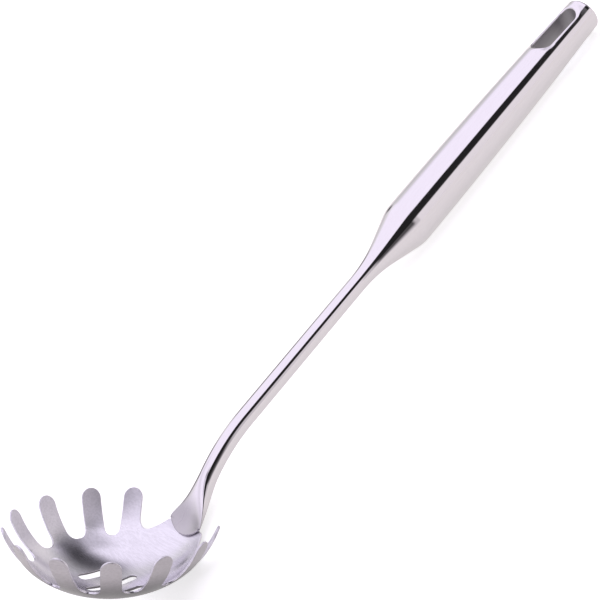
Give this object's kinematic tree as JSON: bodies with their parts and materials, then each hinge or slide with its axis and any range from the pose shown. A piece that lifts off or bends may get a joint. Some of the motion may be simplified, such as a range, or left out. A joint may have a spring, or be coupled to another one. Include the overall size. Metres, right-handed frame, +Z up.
{
  "type": "pasta server",
  "caption": "All-steel pasta server: a deep round bowl with rounded tines and drain slots, spot welded to a bent round shank with a hollow domed grip and a hanging slot.",
  "frame": {"origin": "middle of the bounding box, on the table that the server rests on", "axes": "+X from the bowl towards the end of the grip, +Y across the bowl, +Z up, as it rests on a table on the back of its bowl and on its grip"},
  "size_m": [0.3524, 0.083, 0.0595],
  "materials": {
    "satin_steel": "satin stainless steel, finely brushed",
    "polished_steel": "mirror polished stainless steel",
    "weld_metal": "weld metal, ground flush and polished over"
  },
  "bodies": {
    "root": {"bowl": "satin_steel", "shank": "polished_steel", "pad_spot_welds": "weld_metal", "grip_front_shell": "polished_steel", "grip_back_shell": "polished_steel", "hang_slot_liner": "polished_steel", "end_cap": "polished_steel", "neck_weld": "weld_metal", "cap_weld": "weld_metal"}
  },
  "joints": []
}
